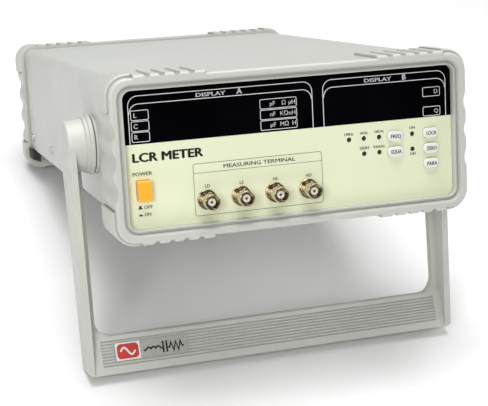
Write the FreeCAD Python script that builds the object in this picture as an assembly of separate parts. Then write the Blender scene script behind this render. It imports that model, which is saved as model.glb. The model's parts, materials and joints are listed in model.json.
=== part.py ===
import FreeCAD, Part
import math
import os

from FreeCAD import Rotation, Vector

# Bench LCR meter standing on its bail handle.
# Millimetres.  The instrument is modelled upright in its own axes: X to the right,
# Y from the front panel to the rear, Z up, with the origin at the centre of the
# front face of the fascia.  stand_up() then tips it back onto its handle and its
# rear bezel and drops it onto the plane Z = 0.

os.makedirs("parts", exist_ok=True)

# ---------------------------------------------------------------- front panel
PANEL_HALF_W = 107.5        # visible panel inside the bezel lip
PANEL_HALF_H = 42.2
PANEL_CORNER_R = 5.5
PANEL_HIDDEN_EDGE = 1.5     # margin that sits behind the lip
WINDOW_BOTTOM_Z = 9.4       # the black display window reaches down to here
FASCIA_T = 2.0
BACKPLATE_T = 1.5
FIT_GAP = 0.2               # all-round gap of keys and button in their holes

# ---------------------------------------------------------------- bezels
FACE_PROUD = 6.5            # bezel face stands this far in front of the fascia
FRONT_BEZEL_DEPTH = 37.5
REAR_BEZEL_DEPTH = 22.0
BEZEL_HALF_W = 115.6
BEZEL_HALF_H = 49.7
BEZEL_CORNER_R = 11.5
BEZEL_EDGE_R = 2.0
GUARD_PROUD = 1.7
GUARD_RAISE = 2.3
GUARD_SETBACK = 4.5
GUARD_EDGE_R = 1.2
GUARD_TOP_X = 101.0         # the corner guards start here along the top and bottom
GUARD_SIDE_Z = 30.0
GUARD_GROOVE = 0.8          # width and depth of the groove at each end of a guard
LIP_W = 2.3                 # the lip round the panel slopes down and out to a V groove
LIP_CREST_DROP = 1.2        # below the bezel face
LIP_CREST_W = 0.5
GROOVE_DROP = 2.3
GROOVE_WALL_W = 1.5
SCALLOP_COUNT = 3
SCALLOP_PITCH = 18.0
SCALLOP_DEPTH = 2.2
SCALLOP_MID_Z = 0.3
TOOTH_BLOCK_X = 55.0
TOOTH_PROUD = 1.6
TOOTH_ROOT = 5.0            # how far the tooth blocks reach into the bezel
NOTCH_FIRST_X = 64.1
NOTCH_PITCH = 9.17
NOTCH_COUNT = 4
NOTCH_R = 2.0
BEZEL_LAND_T = 2.0          # plastic left between the panel pocket and the case pocket

# ---------------------------------------------------------------- case
CASE_HALF_W = 111.5
CASE_TOP_Z = 48.0
CASE_BOTTOM_Z = -48.0
CASE_EDGE_R = 7.0
CASE_T = 1.2
CASE_FRONT_Y = 5.5
CASE_REAR_Y = 361.5
SIDE_BOTTOM_Z = -34.5       # the side walls end here, and the underside tucks in below
TUCK_X = 16.0
FLANGE_TOP_Z = -14.0
OVERALL_FRONT_Y = -FACE_PROUD
OVERALL_REAR_Y = 372.0

# ---------------------------------------------------------------- handle
PIVOT_Y = 72.0
PIVOT_Z = 2.3
HANDLE_LEAN_DEG = 3.7       # the arms lean forward of straight down
HANDLE_HALF_W_TOP = 130.6
HANDLE_HALF_W_BOTTOM = 129.5
HANDLE_INNER_HALF_W = 121.3
ARM_RIM_T = 4.4
ARM_HALF_DEPTH_TOP = 16.0
ARM_HALF_DEPTH_BOTTOM = 10.65
HANDLE_REACH = 149.8
CHIN_DROP = 0.7             # the crossbar's front edge hangs this much lower than its heel
CROSSBAR_TOP = -126.3
CROSSBAR_INNER_R = 10.5
CROSSBAR_OUTER_R = 3.5
WEB_T = 5.5
WEB_FRONT_TOP = -1.0        # front face of the web at the pivot, at the step, at the crossbar
WEB_FRONT_STEP = -1.4
WEB_FRONT_CROSSBAR = -4.2
WEB_STEP_Z = -122.6
SILL_EDGE_R = 1.5           # rounds the front of the opening's lower edge
CROSSBAR_SKIN_T = 3.0
CROSSBAR_FLANGE_T = 2.5
STIFFENER_COUNT = 5
STIFFENER_PITCH = 44.0
STIFFENER_T = 2.0
RIB_COUNT = 9
RIB_PITCH = 1.93
RIB_W = 0.95
RIB_DEPTH = 0.8
RIB_HALF_LENGTH = 119.2
RIB_FIRST_Z = -129.6
LABEL_X = (-110.5, -61.5)
LABEL_Z = (-142.8, -131.0)
LABEL_PROUD = 0.25
LABEL_GAP = 0.2
HUB_BASE_R = 19.2
HUB_BASE_T = 1.7
HUB_STEP_R = 19.4
HUB_STEP_T = 2.8
HUB_NECK_R = 18.4
HUB_NECK_T = 2.4
HUB_GAP = 0.7
BARREL_INNER_R = 17.6
BARREL_OUTER_R = 15.9
PIVOT_R = 4.0
RUNNING_GAP = 0.06
SPRING_COUNT = 4            # dished washers that press each arm against the case
SPRING_POCKET_R = 9.0

# ---------------------------------------------------------------- controls
KEY_W = 10.5
KEY_H = 6.5
KEY_CORNER_R = 2.9
KEY_PROUD = 2.5
KEY_TRAVEL = 0.8
KEY_COLUMNS = (67.9, 92.5)
KEY_ROWS = (-0.6, -10.5, -20.3)
KEYS = {
    "key_freq": (KEY_COLUMNS[0], KEY_ROWS[0]),
    "key_equa": (KEY_COLUMNS[0], KEY_ROWS[1]),
    "key_lock": (KEY_COLUMNS[1], KEY_ROWS[0]),
    "key_zero": (KEY_COLUMNS[1], KEY_ROWS[1]),
    "key_para": (KEY_COLUMNS[1], KEY_ROWS[2]),
}
LED_R = 1.5
LED_CENTRE_Y = 1.3          # the domes' tips are just flush with the fascia
LED_PLACES = (
    (36.9, -0.4), (47.0, -0.4), (57.4, -0.4), (80.2, -0.4),
    (46.9, -10.1), (57.3, -10.1), (80.2, -10.1),
)
POWER_X = -97.0
POWER_Z = -18.6
POWER_W = 8.4
POWER_H = 12.4
POWER_PROUD = 6.0
POWER_TRAVEL = 3.5

# ---------------------------------------------------------------- terminals
BNC_PITCH = 22.0
BNC_FIRST_X = -57.8
BNC_Z = -28.3
BNC_NAMES = ("ld", "ls", "hs", "hd")
BNC_FRONT_Y = -13.0
BNC_BARREL_R = 4.8
BNC_NECK_R = 4.65           # the barrel is a little slimmer from the lugs back
BNC_BORE_R = 4.05
BNC_BORE_FLOOR_Y = -3.0
BNC_FLANGE_R = 6.4
BNC_FLANGE_T = 1.8
BNC_BUSH_R = 4.7
BNC_REAR_Y = 13.0
BNC_LUG_R = 1.0
BNC_LUG_REACH = 5.6
BNC_LUG_Y = -7.6
BNC_DIELECTRIC_R = 2.4
BNC_DIELECTRIC_FRONT_Y = -11.2
BNC_CONTACT_R = 0.95
BNC_CONTACT_BORE_R = 0.5
NUT_ACROSS_FLATS = 13.0
NUT_T = 2.4

# ---------------------------------------------------------------- rear panel
INLET_X = -72.0
INLET_Z = -8.0
INLET_W = 27.4
INLET_H = 20.0
INLET_FLANGE_W = 50.0
INLET_FLANGE_T = 2.0
INLET_DEPTH = 19.0
FUSE_W = 22.0
FUSE_H = 7.6
FUSE_LENGTH = 20.0
FUSE_R = 2.6
VENT_COUNT = 12
VENT_W = 3.0
VENT_H = 40.0
VENT_PITCH = 7.0
VENT_FIRST_X = 12.0

# ---------------------------------------------------------------- inside
DISPLAY_BOARD_Y = 13.2
BOARD_T = 1.6
MAIN_BOARD_Z = -38.0
STANDOFF_R = 3.0

X_AXIS = Vector(1, 0, 0)
Y_AXIS = Vector(0, 1, 0)
Z_AXIS = Vector(0, 0, 1)

FRAME_PARTS = {}            # everything that keeps its place in the instrument's axes
HANDLE_PARTS = {}           # everything that swings with the handle


# ================================================================ small helpers
def box(x0, x1, y0, y1, z0, z1):
    return Part.makeBox(x1 - x0, y1 - y0, z1 - z0, Vector(x0, y0, z0))


def cyl_y(x, z, radius, y0, y1):
    return Part.makeCylinder(radius, y1 - y0, Vector(x, y0, z), Y_AXIS)


def cyl_x(y, z, radius, x0, x1):
    return Part.makeCylinder(radius, x1 - x0, Vector(x0, y, z), X_AXIS)


def cyl_z(x, y, radius, z0, z1):
    return Part.makeCylinder(radius, z1 - z0, Vector(x, y, z0), Z_AXIS)


def rounded_outline(x0, x1, z0, z1, radius, y):
    """Closed wire of a rectangle with round corners, in the plane at y."""
    corners = ((x1 - radius, z1 - radius, 0), (x0 + radius, z1 - radius, 90),
               (x0 + radius, z0 + radius, 180), (x1 - radius, z0 + radius, 270))
    arcs = []
    for cx, cz, start in corners:
        points = []
        for step in (0, 45, 90):
            angle = math.radians(start + step)
            points.append(Vector(cx + radius * math.cos(angle), y, cz + radius * math.sin(angle)))
        arcs.append(points)
    edges = []
    for index, points in enumerate(arcs):
        edges.append(Part.Arc(*points).toShape())
        following = arcs[(index + 1) % len(arcs)]
        if points[2].distanceToPoint(following[0]) > 1e-6:
            edges.append(Part.makeLine(points[2], following[0]))
    return Part.Wire(edges)


def rounded_plate(x0, x1, z0, z1, radius, y0, y1):
    face = Part.Face(rounded_outline(x0, x1, z0, z1, radius, y0))
    return face.extrude(Vector(0, y1 - y0, 0))


def centred_plate(half_w, half_h, radius, y0, y1):
    return rounded_plate(-half_w, half_w, -half_h, half_h, radius, y0, y1)


def prism_y(points, y0, y1):
    """Extrusion along Y of a closed (x, z) polygon."""
    wire = Part.makePolygon([Vector(x, y0, z) for x, z in points + points[:1]])
    return Part.Face(wire).extrude(Vector(0, y1 - y0, 0))


def prism_x(points, x0, x1):
    """Extrusion along X of a closed (y, z) polygon."""
    wire = Part.makePolygon([Vector(x0, y, z) for y, z in points + points[:1]])
    return Part.Face(wire).extrude(Vector(x1 - x0, 0, 0))


def hexagon_y(x, z, across_flats, y0, y1):
    radius = across_flats / math.sqrt(3)
    points = []
    for corner in range(6):
        angle = math.radians(60 * corner)
        points.append((x + radius * math.cos(angle), z + radius * math.sin(angle)))
    return prism_y(points, y0, y1)


def mirrored_x(shape):
    return shape.mirror(Vector(0, 0, 0), X_AXIS)


def fused(shapes):
    result = shapes[0]
    if len(shapes) > 1:
        result = shapes[0].fuse(shapes[1:])
    return result.removeSplitter()


def cut_all(shape, tools):
    return shape.cut(Part.makeCompound(tools))


def group(shapes):
    return Part.makeCompound(shapes)


def edges_at(shape, test):
    """Edges whose middle point passes the test."""
    chosen = []
    for edge in shape.Edges:
        middle = edge.valueAt((edge.FirstParameter + edge.LastParameter) / 2)
        if test(middle):
            chosen.append(edge)
    return chosen


def screw(radius, length, head_r, head_t):
    """Pan-head screw along +Y: its head's underside at y = 0, its shank towards +Y."""
    shank = cyl_y(0, 0, radius, 0, length)
    head = cyl_y(0, 0, head_r, -head_t, 0)
    head = head.makeFillet(head_t * 0.45, edges_at(head, lambda p: p.y < -head_t * 0.9))
    slot_w = head_r * 0.24
    slot_l = head_r * 0.62
    slot_depth = head_t * 0.5
    cross = [box(-slot_l, slot_l, -head_t - 1, slot_depth - head_t, -slot_w, slot_w),
             box(-slot_w, slot_w, -head_t - 1, slot_depth - head_t, -slot_l, slot_l)]
    return cut_all(fused([shank, head]), cross)


def placed(shape, rotation, position):
    moved = shape.copy()
    moved.Placement = FreeCAD.Placement(position, rotation)
    return moved


# ================================================================ bezels
def case_section(inset=0.0):
    """Outline of the case, as an (x, z) polygon with its underside tucked in."""
    half_w = CASE_HALF_W - inset
    tuck_x = CASE_HALF_W - TUCK_X - inset * 0.6
    return [(-half_w, CASE_TOP_Z - inset), (half_w, CASE_TOP_Z - inset),
            (half_w, SIDE_BOTTOM_Z + inset * 0.6), (tuck_x, CASE_BOTTOM_Z + inset),
            (-tuck_x, CASE_BOTTOM_Z + inset), (-half_w, SIDE_BOTTOM_Z + inset * 0.6)]


def rounded_case_solid(inset, radius, y0, y1):
    solid = prism_y(case_section(inset), y0, y1)
    top_edges = edges_at(solid, lambda p: p.z > CASE_TOP_Z - inset - 0.01
                         and abs(p.x) > CASE_HALF_W - inset - 0.01 and y0 < p.y < y1)
    return solid.makeFillet(radius, top_edges)


def scallop_cutter(side, depth):
    """Waste beside one side wall: a wave of tangent arcs, SCALLOP_DEPTH from crest to trough."""
    quarter = SCALLOP_PITCH / 4
    half_depth = SCALLOP_DEPTH / 2
    radius = (quarter ** 2 + half_depth ** 2) / (2 * half_depth)
    half_turn = math.asin(quarter / radius) / 2
    mid_drop = radius * (1 - math.cos(half_turn))
    mid_run = radius * math.sin(half_turn)

    def point(drop, z):
        return Vector(side * (BEZEL_HALF_W - drop), -1, z)

    edges = []
    top_z = SCALLOP_MID_Z + SCALLOP_COUNT * SCALLOP_PITCH / 2
    for index in range(SCALLOP_COUNT):
        upper = top_z - index * SCALLOP_PITCH
        lower = upper - SCALLOP_PITCH
        trough = (upper + lower) / 2
        for start, middle, end in (
                (point(0, upper), point(mid_drop, upper - mid_run),
                 point(half_depth, upper - quarter)),
                (point(half_depth, upper - quarter), point(SCALLOP_DEPTH, trough),
                 point(half_depth, lower + quarter)),
                (point(half_depth, lower + quarter), point(mid_drop, lower + mid_run),
                 point(0, lower))):
            edges.append(Part.Arc(start, middle, end).toShape())
    outside = -SCALLOP_DEPTH
    bottom_z = top_z - SCALLOP_COUNT * SCALLOP_PITCH
    corners = [point(0, bottom_z), point(outside, bottom_z), point(outside, top_z),
               point(0, top_z)]
    for start, end in zip(corners, corners[1:]):
        edges.append(Part.makeLine(start, end))
    return Part.Face(Part.Wire(edges)).extrude(Vector(0, depth + 2, 0))


def panel_outline(spread, y):
    """Outline of the panel opening, spread outwards all round, in the plane at y."""
    return rounded_outline(-PANEL_HALF_W - spread, PANEL_HALF_W + spread,
                           -PANEL_HALF_H - spread, PANEL_HALF_H + spread,
                           PANEL_CORNER_R + spread, y)


def lip_groove():
    """V groove round the panel opening, between the bezel face and the lip's sloping top."""
    wall_slope = GROOVE_WALL_W / GROOVE_DROP
    above = 0.5
    plug = Part.makeLoft([panel_outline(LIP_W + GROOVE_WALL_W + above * wall_slope, -above),
                          panel_outline(LIP_W, GROOVE_DROP)], True, True)
    island = Part.makeLoft([panel_outline(LIP_CREST_W, LIP_CREST_DROP),
                            panel_outline(LIP_W, GROOVE_DROP)], True, True)
    return plug.cut(island)


def bezel(depth, pocket_start):
    """Front bezel with its face at y = 0 and its back edge at y = depth."""
    core = centred_plate(BEZEL_HALF_W, BEZEL_HALF_H, BEZEL_CORNER_R, 0, depth)
    pieces = [core]
    block_h = BEZEL_HALF_H + TOOTH_PROUD
    root_h = BEZEL_HALF_H - TOOTH_ROOT
    for side in (-1, 1):
        x_a, x_b = sorted((side * TOOTH_BLOCK_X, side * GUARD_TOP_X))
        pieces.append(box(x_a, x_b, 0, depth, root_h, block_h))
        pieces.append(box(x_a, x_b, 0, depth, -block_h, -root_h))
    body = fused(pieces)
    body = body.makeFillet(BEZEL_EDGE_R, edges_at(
        body, lambda p: p.y < 0.01 and (abs(p.x) > BEZEL_HALF_W - BEZEL_CORNER_R
                                        or abs(p.z) > BEZEL_HALF_H - 0.01)))

    notches = []
    for index in range(NOTCH_COUNT):
        x = NOTCH_FIRST_X + index * NOTCH_PITCH
        for side in (-1, 1):
            for z in (-block_h, block_h):
                notches.append(cyl_y(side * x, z, NOTCH_R, -1, depth + 1))
    body = cut_all(body, notches + [scallop_cutter(side, depth) for side in (-1, 1)])

    guard_outer = centred_plate(BEZEL_HALF_W + GUARD_PROUD, BEZEL_HALF_H + GUARD_RAISE,
                                BEZEL_CORNER_R + GUARD_PROUD, GUARD_SETBACK, depth)
    guard_outer = guard_outer.makeFillet(GUARD_EDGE_R, edges_at(
        guard_outer, lambda p: p.y < GUARD_SETBACK + 0.01))
    far = BEZEL_HALF_W + 10
    corners = []
    grooves = []
    for side_x in (-1, 1):
        for side_z in (-1, 1):
            x_a, x_b = sorted((side_x * GUARD_TOP_X, side_x * far))
            z_a, z_b = sorted((side_z * GUARD_SIDE_Z, side_z * far))
            corners.append(box(x_a, x_b, 0, depth, z_a, z_b))
            x_c = side_x * (GUARD_TOP_X - GUARD_GROOVE)
            z_c = side_z * (GUARD_SIDE_Z - GUARD_GROOVE)
            floor_x = side_x * (BEZEL_HALF_W - GUARD_GROOVE)
            floor_z = side_z * (block_h - GUARD_GROOVE)
            grooves.append(box(min(x_c, side_x * GUARD_TOP_X), max(x_c, side_x * GUARD_TOP_X),
                               -1, depth + 1,
                               min(floor_z, side_z * far), max(floor_z, side_z * far)))
            grooves.append(box(min(floor_x, side_x * far), max(floor_x, side_x * far),
                               GUARD_SETBACK, depth + 1,
                               min(z_c, side_z * GUARD_SIDE_Z), max(z_c, side_z * GUARD_SIDE_Z)))
    guards = guard_outer.common(Part.makeCompound(corners))
    body = cut_all(fused([body] + guards.Solids), grooves + [lip_groove()])
    opening = centred_plate(PANEL_HALF_W, PANEL_HALF_H, PANEL_CORNER_R, -1, FACE_PROUD + 1)
    body = body.cut(opening)

    edge = PANEL_HIDDEN_EDGE + 0.1
    panel_pocket = centred_plate(PANEL_HALF_W + edge, PANEL_HALF_H + edge,
                                 PANEL_CORNER_R + edge, FACE_PROUD, pocket_start)
    inner_hole = centred_plate(PANEL_HALF_W - 4, PANEL_HALF_H - 4, PANEL_CORNER_R,
                               pocket_start - 1, depth + 1)
    case_pocket = rounded_case_solid(0.0, CASE_EDGE_R, pocket_start + BEZEL_LAND_T, depth + 1)
    return cut_all(body, [panel_pocket, inner_hole, case_pocket])


def build_bezels():
    pocket_start = FACE_PROUD + FASCIA_T + BACKPLATE_T
    front = bezel(FRONT_BEZEL_DEPTH, pocket_start)
    front.translate(Vector(0, OVERALL_FRONT_Y, 0))
    rear = bezel(REAR_BEZEL_DEPTH, FACE_PROUD + BACKPLATE_T + 0.5)
    rear = rear.mirror(Vector(0, 0, 0), Y_AXIS)
    rear.translate(Vector(0, OVERALL_REAR_Y, 0))
    FRAME_PARTS["front_bezel"] = front
    FRAME_PARTS["rear_bezel"] = rear


# ================================================================ case
def build_case():
    """Top cover: roof and both sides.  Bottom cover: floor, tucked-in skirts and side flanges."""
    length_y = (CASE_FRONT_Y, CASE_REAR_Y)
    outer = rounded_case_solid(0.0, CASE_EDGE_R, *length_y)
    inner = rounded_case_solid(CASE_T, CASE_EDGE_R - CASE_T, length_y[0] - 1, length_y[1] + 1)
    shell = outer.cut(inner)
    inner_x = CASE_HALF_W - CASE_T
    above = box(-200, 200, 0, 400, SIDE_BOTTOM_Z, 200)
    above = above.cut(box(-inner_x, inner_x, -1, 401, SIDE_BOTTOM_Z - 1, SIDE_BOTTOM_Z + CASE_T))
    top = shell.common(above)
    bottom = shell.cut(above)
    flange_x = inner_x - 0.05
    flanges = []
    for side in (-1, 1):
        x_a, x_b = sorted((side * flange_x, side * (flange_x - CASE_T)))
        flanges.append(box(x_a, x_b, length_y[0] + 12, length_y[1] - 12,
                           SIDE_BOTTOM_Z - 1.0, FLANGE_TOP_Z))
    bottom = fused(bottom.Solids + flanges)

    pivot_holes = cyl_x(PIVOT_Y, PIVOT_Z, PIVOT_R + 0.15, -CASE_HALF_W - 5, CASE_HALF_W + 5)
    screw_holes = []
    for x, y, z, side in cover_screw_places():
        screw_holes.append(cyl_x(y, z, 1.55, x - 6, x + 6))
    vents = []
    for index in range(9):
        y = 232 + index * 9.0
        vents.append(box(-34, 34, y, y + 3.0, CASE_BOTTOM_Z - 1, CASE_BOTTOM_Z + CASE_T + 1))
    foot_holes = []
    for x, y in foot_places():
        foot_holes.append(cyl_z(x, y, 1.65, CASE_BOTTOM_Z - 1, CASE_BOTTOM_Z + CASE_T + 1))
    for x, y in standoff_places():
        foot_holes.append(cyl_z(x, y, 1.55, CASE_BOTTOM_Z - 1, CASE_BOTTOM_Z + CASE_T + 1))
    FRAME_PARTS["top_cover"] = cut_all(top, [pivot_holes] + screw_holes)
    FRAME_PARTS["bottom_cover"] = cut_all(bottom, vents + foot_holes + screw_holes)


def cover_screw_places():
    places = []
    for side in (-1, 1):
        for y in (150.0, 245.0, 335.0):
            places.append((side * CASE_HALF_W, y, -24.0, side))
    return places


def build_cover_screws():
    solids = []
    for x, y, z, side in cover_screw_places():
        turn = Rotation(Z_AXIS, 90 * side)
        solids.append(placed(screw(1.45, 6.0, 3.0, 1.6), turn, Vector(x, y, z)))
    FRAME_PARTS["cover_screws"] = group(solids)


def foot_places():
    return [(side * 78.0, y) for side in (-1, 1) for y in (62.0, 318.0)]


def standoff_places():
    return [(side * 84.0, y) for side in (-1, 1) for y in (46.0, 214.0)]


def build_feet():
    feet = []
    screws = []
    for x, y in foot_places():
        cone = Part.makeCone(9.0, 7.5, 5.0, Vector(x, y, CASE_BOTTOM_Z), Z_AXIS * -1)
        cone = cone.makeFillet(1.0, edges_at(cone, lambda p: p.z < CASE_BOTTOM_Z - 4.9))
        bore = [cyl_z(x, y, 1.65, CASE_BOTTOM_Z - 6, CASE_BOTTOM_Z + 1),
                cyl_z(x, y, 3.3, CASE_BOTTOM_Z - 6, CASE_BOTTOM_Z - 2.4)]
        feet.append(cut_all(cone, bore))
        up = Rotation(X_AXIS, 90)
        screws.append(placed(screw(1.45, 8.0, 3.0, 1.7), up, Vector(x, y, CASE_BOTTOM_Z - 2.4)))
    FRAME_PARTS["bottom_feet"] = group(feet)
    FRAME_PARTS["foot_screws"] = group(screws)

    bumpers = []
    seam_y = OVERALL_REAR_Y - REAR_BEZEL_DEPTH
    for side in (-1, 1):
        points = [(side * (CASE_HALF_W - TUCK_X * 0.26), SIDE_BOTTOM_Z - 3.6),
                  (side * (CASE_HALF_W + 2.5), SIDE_BOTTOM_Z + 0.4),
                  (side * (CASE_HALF_W + 2.5), SIDE_BOTTOM_Z - 7.5),
                  (side * (CASE_HALF_W - TUCK_X * 0.26), SIDE_BOTTOM_Z - 10.5)]
        block = prism_y(points, seam_y - 18, seam_y)
        clearance = prism_y(case_section(-0.02), seam_y - 30, seam_y + 5)
        bumpers.append(block.cut(clearance))
    FRAME_PARTS["corner_bumpers"] = group(bumpers)


# ================================================================ panel
def key_hole(x, z, grow, y0, y1):
    half_w = KEY_W / 2 + grow
    half_h = KEY_H / 2 + grow
    return rounded_plate(x - half_w, x + half_w, z - half_h, z + half_h, KEY_CORNER_R + grow, y0, y1)


def power_hole(grow, y0, y1):
    half_w = POWER_W / 2 + grow
    half_h = POWER_H / 2 + grow
    return rounded_plate(POWER_X - half_w, POWER_X + half_w, POWER_Z - half_h, POWER_Z + half_h,
                         1.0 + grow, y0, y1)


def bnc_places():
    return [(name, BNC_FIRST_X + index * BNC_PITCH) for index, name in enumerate(BNC_NAMES)]


def build_panel():
    edge = PANEL_HIDDEN_EDGE
    slab = centred_plate(PANEL_HALF_W + edge, PANEL_HALF_H + edge, PANEL_CORNER_R + edge,
                         0, FASCIA_T)
    below = box(-200, 200, -1, 50, -100, WINDOW_BOTTOM_Z)
    fascia = slab.common(below)
    window = slab.cut(below)
    backplate = centred_plate(PANEL_HALF_W + edge, PANEL_HALF_H + edge, PANEL_CORNER_R + edge,
                              FASCIA_T, FASCIA_T + BACKPLATE_T)
    through = []
    for x, z in KEYS.values():
        through.append(key_hole(x, z, FIT_GAP, -1, 10))
    through.append(power_hole(FIT_GAP, -1, 10))
    for x, z in LED_PLACES:
        through.append(cyl_y(x, z, LED_R + 0.05, -1, 10))
    for _, x in bnc_places():
        through.append(cyl_y(x, BNC_Z, BNC_BUSH_R + 0.05, -1, 10))
    display_openings = [box(-88, -24, -1, 10, 11.5, 29.5), box(30, 84, -1, 10, 11.5, 29.5)]
    FRAME_PARTS["front_panel"] = cut_all(fascia, through)
    FRAME_PARTS["display_window"] = window
    FRAME_PARTS["panel_backplate"] = cut_all(backplate, through + display_openings)


def build_displays():
    """Digit modules stand on the display board and look out through the backplate openings."""
    front_y = FASCIA_T + 0.1
    digit_a = box(-87.5, -24.5, front_y, DISPLAY_BOARD_Y, 12.0, 29.0)
    digit_b = box(30.5, 83.5, front_y, DISPLAY_BOARD_Y, 12.0, 29.0)
    FRAME_PARTS["digit_display_a"] = digit_a
    FRAME_PARTS["digit_display_b"] = digit_b

    board = box(-104, 104, DISPLAY_BOARD_Y, DISPLAY_BOARD_Y + BOARD_T, -24.0, 38.0)
    cutouts = [box(-105, 16, DISPLAY_BOARD_Y - 1, DISPLAY_BOARD_Y + 5, -40, -5)]
    FRAME_PARTS["display_board"] = cut_all(board, cutouts)

    leds = []
    for x, z in LED_PLACES:
        dome = Part.makeSphere(LED_R, Vector(x, LED_CENTRE_Y, z))
        stem = cyl_y(x, z, LED_R, LED_CENTRE_Y, DISPLAY_BOARD_Y)
        collar = cyl_y(x, z, LED_R + 0.5, FASCIA_T + BACKPLATE_T + 0.6, DISPLAY_BOARD_Y)
        leds.append(fused([dome, stem, collar]))
    FRAME_PARTS["indicator_leds"] = group(leds)


def build_keys():
    switch_front = DISPLAY_BOARD_Y - 5.0
    switches = []
    for name, (x, z) in KEYS.items():
        cap = key_hole(x, z, 0.0, -KEY_PROUD, FASCIA_T + BACKPLATE_T + 0.5)
        cap = cap.makeFillet(1.1, edges_at(cap, lambda p: p.y < -KEY_PROUD + 0.01))
        skirt = key_hole(x, z, 0.9, FASCIA_T + BACKPLATE_T + 0.1, FASCIA_T + BACKPLATE_T + 1.4)
        post = cyl_y(x, z, 1.5, FASCIA_T + BACKPLATE_T + 1, switch_front - KEY_TRAVEL - 0.15)
        FRAME_PARTS[name] = fused([cap, skirt, post])
        case = box(x - 3, x + 3, switch_front + 1.2, DISPLAY_BOARD_Y, z - 3, z + 3)
        stem = cyl_y(x, z, 1.7, switch_front, switch_front + 1.3)
        switches.append(fused([case, stem]))
    FRAME_PARTS["key_switches"] = group(switches)


def build_power_switch():
    cap = power_hole(0.0, -POWER_PROUD, 8.0)
    cap = cap.makeFillet(0.8, edges_at(cap, lambda p: p.y < -POWER_PROUD + 0.01))
    socket = box(POWER_X - 1.6, POWER_X + 1.6, 1.0, 9.0, POWER_Z - 1.6, POWER_Z + 1.6)
    rod_grip = box(POWER_X - 1.6, POWER_X + 1.6, 1.05, 12.0, POWER_Z - 1.6, POWER_Z + 1.6)
    rod = cyl_y(POWER_X, POWER_Z, 1.4, 11.5, 300.0)
    switch = rounded_plate(POWER_X - 7, POWER_X + 7, POWER_Z - 7, POWER_Z + 7, 1.0, 296.0, 322.0)
    bore = cyl_y(POWER_X, POWER_Z, 1.5, 295.0, 300.0 + POWER_TRAVEL + 1.0)
    floor = CASE_BOTTOM_Z + CASE_T
    bracket = [box(POWER_X - 7, POWER_X + 9, 322.0, 323.5, -32.0, POWER_Z + 8),
               box(POWER_X + 4, POWER_X + 9, 322.0, 323.5, floor, -31.0),
               box(POWER_X + 4, POWER_X + 16, 322.0, 338.0, floor, floor + 1.5)]
    FRAME_PARTS["power_button"] = cap.cut(socket)
    FRAME_PARTS["power_push_rod"] = fused([rod_grip, rod])
    FRAME_PARTS["power_switch"] = switch.cut(bore)
    FRAME_PARTS["switch_bracket"] = fused(bracket)


def build_terminals():
    nuts = []
    insulators = []
    contacts = []
    for name, x in bnc_places():
        barrel = cyl_y(x, BNC_Z, BNC_BARREL_R, BNC_FRONT_Y, BNC_LUG_Y - BNC_LUG_R - 0.1)
        barrel = barrel.makeFillet(0.35, edges_at(barrel, lambda p: p.y < BNC_FRONT_Y + 0.01))
        neck = cyl_y(x, BNC_Z, BNC_NECK_R, BNC_LUG_Y - BNC_LUG_R - 0.2, 0)
        flange = cyl_y(x, BNC_Z, BNC_FLANGE_R, -BNC_FLANGE_T, 0)
        flange = flange.makeFillet(0.5, edges_at(flange, lambda p: p.y < 0.01 - BNC_FLANGE_T))
        bush = cyl_y(x, BNC_Z, BNC_BUSH_R, -0.5, BNC_REAR_Y)
        lugs = cyl_z(x, BNC_LUG_Y, BNC_LUG_R, BNC_Z - BNC_LUG_REACH, BNC_Z + BNC_LUG_REACH)
        shell = fused([barrel, neck, flange, bush, lugs])
        bores = [cyl_y(x, BNC_Z, BNC_BORE_R, BNC_FRONT_Y - 1, BNC_BORE_FLOOR_Y),
                 cyl_y(x, BNC_Z, BNC_DIELECTRIC_R, BNC_BORE_FLOOR_Y - 1, BNC_REAR_Y + 1)]
        FRAME_PARTS["bnc_shell_" + name] = shell.cut(Part.makeCompound(bores))

        insulator = cyl_y(x, BNC_Z, BNC_DIELECTRIC_R, BNC_DIELECTRIC_FRONT_Y, BNC_REAR_Y)
        insulator = insulator.cut(cyl_y(x, BNC_Z, BNC_CONTACT_R, BNC_DIELECTRIC_FRONT_Y - 1,
                                        BNC_REAR_Y + 1))
        insulators.append(insulator)

        contact = cyl_y(x, BNC_Z, BNC_CONTACT_R, BNC_DIELECTRIC_FRONT_Y + 0.3, BNC_REAR_Y + 4)
        socket = cyl_y(x, BNC_Z, BNC_CONTACT_BORE_R, BNC_DIELECTRIC_FRONT_Y, BNC_BORE_FLOOR_Y)
        contacts.append(contact.cut(socket))

        nut_y = FASCIA_T + BACKPLATE_T
        nut = hexagon_y(x, BNC_Z, NUT_ACROSS_FLATS, nut_y, nut_y + NUT_T)
        nuts.append(nut.cut(cyl_y(x, BNC_Z, BNC_BUSH_R, nut_y - 1, nut_y + NUT_T + 1)))
    FRAME_PARTS["bnc_insulators"] = group(insulators)
    FRAME_PARTS["bnc_contacts"] = group(contacts)
    FRAME_PARTS["bnc_nuts"] = group(nuts)


# ================================================================ handle
def handle_point(along, across):
    """(y, z) of a point in the handle's own plane: along its lean, across it to the rear."""
    lean = math.radians(HANDLE_LEAN_DEG)
    y = PIVOT_Y + along * math.sin(lean) + across * math.cos(lean)
    z = PIVOT_Z + along * math.cos(lean) - across * math.sin(lean)
    return (y, z)


def handle_outline(drop, y0, y1):
    """Outer outline of the handle from its pivot down, its sides inset by drop."""
    low = -HANDLE_REACH - CHIN_DROP
    top_w = HANDLE_HALF_W_TOP - drop
    bottom_w = HANDLE_HALF_W_BOTTOM - drop
    outline = prism_y([(-top_w, 0), (top_w, 0), (bottom_w, low), (-bottom_w, low)], y0, y1)
    if drop > 0:
        return outline
    return outline.makeFillet(CROSSBAR_OUTER_R, edges_at(
        outline, lambda p: abs(p.z - low) < 0.01 and abs(p.x) > HANDLE_HALF_W_BOTTOM - 1))


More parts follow.
